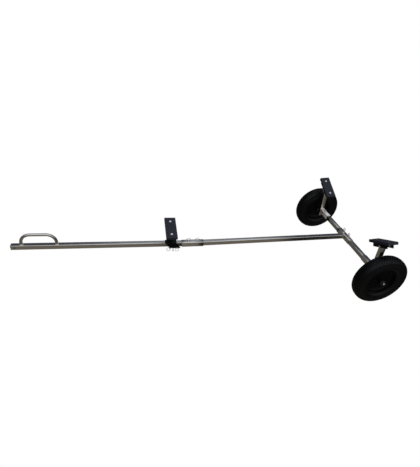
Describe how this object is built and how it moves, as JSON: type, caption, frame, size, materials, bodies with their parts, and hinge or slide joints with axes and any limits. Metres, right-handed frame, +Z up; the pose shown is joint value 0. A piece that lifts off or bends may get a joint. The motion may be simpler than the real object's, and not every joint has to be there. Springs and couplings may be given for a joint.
{
  "type": "two-wheel hand launching trolley",
  "caption": "Two-wheel stainless hand trolley with a two-piece drawbar, grab handle, rocking side pads and a sliding keel support.",
  "frame": {"origin": "on the floor, at the middle of the whole box", "axes": "+X along the drawbar from the grab handle to the cross axle, +Y to the right of a person pulling it, +Z up"},
  "size_m": [2.7112, 1.121, 0.5223],
  "materials": {
    "stainless": "drawn stainless tube, lightly brushed",
    "zinc": "bright zinc plate",
    "black_paint": "satin black paint",
    "pad_rubber": "matte black rubber",
    "tyre_rubber": "black tyre rubber",
    "nylon": "moulded black nylon"
  },
  "bodies": {
    "drawbar": {"rear_drawbar_tube": "stainless", "front_drawbar_tube": "stainless", "coupling_sleeve": "stainless", "drawbar_end_plug": "nylon", "grab_handle": "stainless", "axle_sleeve": "stainless"},
    "keel_saddle": {"keel_saddle": "black_paint", "keel_post": "black_paint", "keel_pivot_bolt": "zinc"},
    "keel_rocker": {"keel_channel": "black_paint", "keel_pad": "pad_rubber", "keel_pad_bolt_inner": "zinc", "keel_pad_bolt_outer": "zinc"},
    "saddle_clamp_screw": {"saddle_clamp_screw": "black_paint"},
    "saddle_pin_front": {"saddle_pin_front": "zinc"},
    "saddle_ring_front": {"saddle_ring_front": "zinc"},
    "saddle_pin_rear": {"saddle_pin_rear": "zinc"},
    "saddle_ring_rear": {"saddle_ring_rear": "zinc"},
    "coupling_pin_front": {"coupling_pin_front": "zinc"},
    "coupling_ring_front": {"coupling_ring_front": "zinc"},
    "coupling_pin_rear": {"coupling_pin_rear": "zinc"},
    "coupling_ring_rear": {"coupling_ring_rear": "zinc"},
    "axle_left": {"axle_tube_left": "stainless", "axle_socket_left": "stainless", "post_left": "stainless", "stub_axle_left": "zinc", "axle_spacer_left": "zinc", "axle_washer_left": "zinc", "axle_nut_left": "zinc", "side_left_pivot_bolt": "zinc"},
    "side_left_rocker": {"side_left_channel": "black_paint", "side_left_pad": "pad_rubber", "side_left_pad_bolt_inner": "zinc", "side_left_pad_bolt_outer": "zinc"},
    "wheel_left": {"tyre_left": "tyre_rubber", "inner_tube_left": "tyre_rubber", "rim_left": "black_paint", "hub_left": "black_paint", "hub_bush_inner_left": "nylon", "hub_bush_outer_left": "nylon"},
    "clamp_screw_left": {"clamp_screw_left": "zinc"},
    "axle_right": {"axle_tube_right": "stainless", "axle_socket_right": "stainless", "post_right": "stainless", "stub_axle_right": "zinc", "axle_spacer_right": "zinc", "axle_washer_right": "zinc", "axle_nut_right": "zinc", "side_right_pivot_bolt": "zinc"},
    "side_right_rocker": {"side_right_channel": "black_paint", "side_right_pad": "pad_rubber", "side_right_pad_bolt_inner": "zinc", "side_right_pad_bolt_outer": "zinc"},
    "wheel_right": {"tyre_right": "tyre_rubber", "inner_tube_right": "tyre_rubber", "rim_right": "black_paint", "hub_right": "black_paint", "hub_bush_inner_right": "nylon", "hub_bush_outer_right": "nylon"},
    "clamp_screw_right": {"clamp_screw_right": "zinc"}
  },
  "joints": [
    {"name": "keel_support_slide", "type": "slide", "parent": "drawbar", "child": "keel_saddle", "axis": [0.9978, 0, 0.0659], "range_m": [-0.58, 0]},
    {"name": "keel_pad_rock", "type": "hinge", "parent": "keel_saddle", "child": "keel_rocker", "pos_m": [-0.30508, 0, 0.19747], "axis": [0.9978, 0, 0.0659], "range_deg": [-28, 0]},
    {"name": "saddle_clamp_turn", "type": "hinge", "parent": "keel_saddle", "child": "saddle_clamp_screw", "pos_m": [-0.27582, -0.022, 0.08816], "axis": [0, 1, 0], "range_deg": [-360, 360]},
    {"name": "saddle_pin_front_pull", "type": "slide", "parent": "keel_saddle", "child": "saddle_pin_front", "axis": [0, -1, 0], "range_m": [0, 0.055]},
    {"name": "saddle_ring_front_swing", "type": "hinge", "parent": "saddle_pin_front", "child": "saddle_ring_front", "pos_m": [-0.29732, -0.0285, 0.06469], "axis": [0.7521, 0, -0.659], "range_deg": [-75, 0]},
    {"name": "saddle_pin_rear_pull", "type": "slide", "parent": "keel_saddle", "child": "saddle_pin_rear", "axis": [0, -1, 0], "range_m": [0, 0.055]},
    {"name": "saddle_ring_rear_swing", "type": "hinge", "parent": "saddle_pin_rear", "child": "saddle_ring_rear", "pos_m": [-0.24443, -0.0285, 0.06818], "axis": [0.9978, 0, 0.0659], "range_deg": [-75, 0]},
    {"name": "coupling_pin_front_pull", "type": "slide", "parent": "drawbar", "child": "coupling_pin_front", "axis": [-0.083, 0, 0.9965], "range_m": [0, 0.055]},
    {"name": "coupling_ring_front_swing", "type": "hinge", "parent": "coupling_pin_front", "child": "coupling_ring_front", "pos_m": [-0.16224, 0, 0.12245], "axis": [0.9965, 0, 0.083], "range_deg": [-115, 0]},
    {"name": "coupling_pin_rear_pull", "type": "slide", "parent": "drawbar", "child": "coupling_pin_rear", "axis": [-0.083, 0, 0.9965], "range_m": [0, 0.055]},
    {"name": "coupling_ring_rear_swing", "type": "hinge", "parent": "coupling_pin_rear", "child": "coupling_ring_rear", "pos_m": [-0.09646, 0, 0.12793], "axis": [0.9965, 0, 0.083], "range_deg": [-115, 0]},
    {"name": "axle_left_slide", "type": "slide", "parent": "drawbar", "child": "axle_left", "axis": [0, -1, 0], "range_m": [0, 0.05]},
    {"name": "side_left_pad_rock", "type": "hinge", "parent": "axle_left", "child": "side_left_rocker", "pos_m": [1.11577, -0.42, 0.43667], "axis": [-0.9861, 0, -0.1659], "range_deg": [-45, 0]},
    {"name": "wheel_left_spin", "type": "hinge", "parent": "axle_left", "child": "wheel_left", "pos_m": [1.15559, -0.5, 0.2], "axis": [0, 1, 0], "continuous": true},
    {"name": "clamp_screw_left_turn", "type": "hinge", "parent": "drawbar", "child": "clamp_screw_left", "pos_m": [1.15288, -0.045, 0.22686], "axis": [-0.1002, 0, 0.995], "range_deg": [0, 720]},
    {"name": "axle_right_slide", "type": "slide", "parent": "drawbar", "child": "axle_right", "axis": [0, 1, 0], "range_m": [0, 0.05]},
    {"name": "side_right_pad_rock", "type": "hinge", "parent": "axle_right", "child": "side_right_rocker", "pos_m": [1.11577, 0.42, 0.43667], "axis": [0.9861, 0, 0.1659], "range_deg": [-45, 0]},
    {"name": "wheel_right_spin", "type": "hinge", "parent": "axle_right", "child": "wheel_right", "pos_m": [1.15559, 0.5, 0.2], "axis": [0, 1, 0], "continuous": true},
    {"name": "clamp_screw_right_turn", "type": "hinge", "parent": "drawbar", "child": "clamp_screw_right", "pos_m": [1.15288, 0.027, 0.22686], "axis": [-0.1002, 0, 0.995], "range_deg": [0, 720]}
  ]
}
